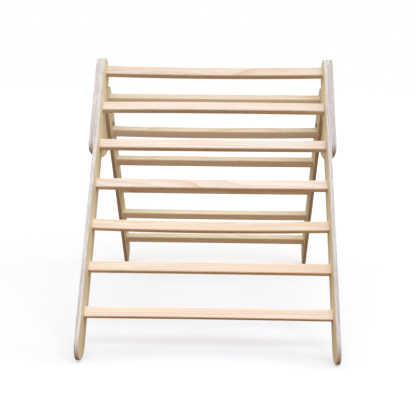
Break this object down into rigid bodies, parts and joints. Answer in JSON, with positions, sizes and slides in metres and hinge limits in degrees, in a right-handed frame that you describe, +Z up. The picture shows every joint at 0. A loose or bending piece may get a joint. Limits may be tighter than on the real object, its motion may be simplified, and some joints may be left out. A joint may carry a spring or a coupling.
{
  "type": "folding climbing triangle",
  "caption": "Folding wooden climbing triangle for toddlers: two slatted ladders with plywood rails, joined under gusset plates at the top so that the rear ladder swings in flat.",
  "frame": {"origin": "middle of the footprint on the ground the open triangle stands on", "axes": "+Z up, the front ladder's feet towards -Y and the rear ladder's feet towards +Y, +X along the rungs to the right as seen from the front"},
  "size_m": [0.7612, 1.0954, 0.8151],
  "materials": {
    "front_rail_ply": "plywood, sanded, clear matt lacquer, plies bare at the edges",
    "rear_rail_ply": "plywood, sanded, clear matt lacquer, plies bare at the edges",
    "gusset_plate_ply": "plywood, sanded, clear matt lacquer, plies bare at the edges",
    "front_slat_pine": "pale softwood, planed, clear matt lacquer",
    "rear_slat_pine": "pale softwood, planed, clear matt lacquer",
    "screw_steel": "plain zinc",
    "pivot_steel": "dark zinc"
  },
  "bodies": {
    "front_frame": {"front_rail_left": "front_rail_ply", "front_rail_right": "front_rail_ply", "front_rung_1": "front_slat_pine", "front_rung_2": "front_slat_pine", "front_rung_3": "front_slat_pine", "front_rung_4": "front_slat_pine", "front_rung_5": "front_slat_pine", "front_rung_6": "front_slat_pine", "front_rung_7": "front_slat_pine", "gusset_plate_left": "gusset_plate_ply", "gusset_plate_right": "gusset_plate_ply", "pivot_bolt_left": "pivot_steel", "pivot_bolt_right": "pivot_steel", "pivot_sleeve_nut_left": "pivot_steel", "pivot_sleeve_nut_right": "pivot_steel", "front_rung_screw_1_left": "screw_steel", "front_rung_screw_1_right": "screw_steel", "front_rung_screw_2_left": "screw_steel", "front_rung_screw_2_right": "screw_steel", "front_rung_screw_3_left": "screw_steel", "front_rung_screw_3_right": "screw_steel", "front_rung_screw_4_left": "screw_steel", "front_rung_screw_4_right": "screw_steel", "plate_screw_5_left": "screw_steel", "plate_screw_5_right": "screw_steel", "plate_screw_6_left": "screw_steel", "plate_screw_6_right": "screw_steel", "plate_screw_7_left": "screw_steel", "plate_screw_7_right": "screw_steel"},
    "rear_frame": {"rear_rail_left": "rear_rail_ply", "rear_rail_right": "rear_rail_ply", "rear_rung_1": "rear_slat_pine", "rear_rung_2": "rear_slat_pine", "rear_rung_3": "rear_slat_pine", "rear_rung_4": "rear_slat_pine", "rear_rung_5": "rear_slat_pine", "rear_rung_6": "rear_slat_pine", "rear_rung_screw_1_left": "screw_steel", "rear_rung_screw_1_right": "screw_steel", "rear_rung_screw_2_left": "screw_steel", "rear_rung_screw_2_right": "screw_steel", "rear_rung_screw_3_left": "screw_steel", "rear_rung_screw_3_right": "screw_steel", "rear_rung_screw_4_left": "screw_steel", "rear_rung_screw_4_right": "screw_steel", "rear_rung_screw_5_left": "screw_steel", "rear_rung_screw_5_right": "screw_steel", "rear_rung_screw_6_left": "screw_steel", "rear_rung_screw_6_right": "screw_steel"}
  },
  "joints": [
    {"name": "rear_fold", "type": "hinge", "parent": "front_frame", "child": "rear_frame", "pos_m": [0, 0.14137, 0.59566], "axis": [1, 0, 0], "range_deg": [-77.7, 0]}
  ]
}
